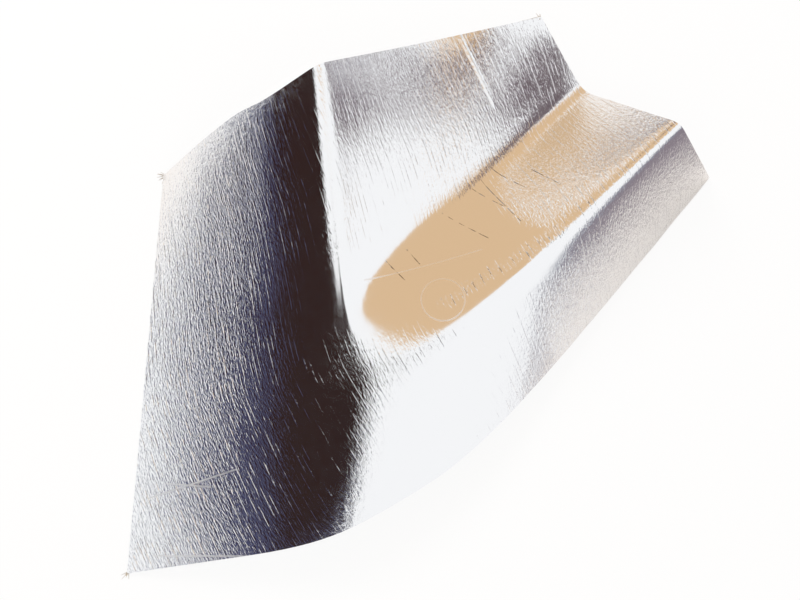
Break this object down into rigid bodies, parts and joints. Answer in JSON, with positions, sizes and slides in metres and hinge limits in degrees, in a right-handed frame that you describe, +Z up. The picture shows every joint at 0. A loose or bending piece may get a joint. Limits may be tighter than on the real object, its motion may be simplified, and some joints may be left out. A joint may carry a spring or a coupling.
{
  "type": "heat shield",
  "caption": "Sheet of foil-faced cloth folded by hand into a heat shield, with a roof-like fold, an open channel and a raised bead, all edges plain cut.",
  "frame": {"origin": "on the floor, under the middle of the sheet's bounding box, as the sheet comes to rest", "axes": "+Z up, +X to the right along the longest extent, +Y to the back; the left edge, on the floor, runs nearly along Y"},
  "size_m": [0.254, 0.2368, 0.0681],
  "materials": {
    "foil_laminate": "bright aluminium foil bonded to a woven cloth, threads showing through"
  },
  "bodies": {
    "root": {"heat_shield_sheet": "foil_laminate"}
  },
  "joints": []
}
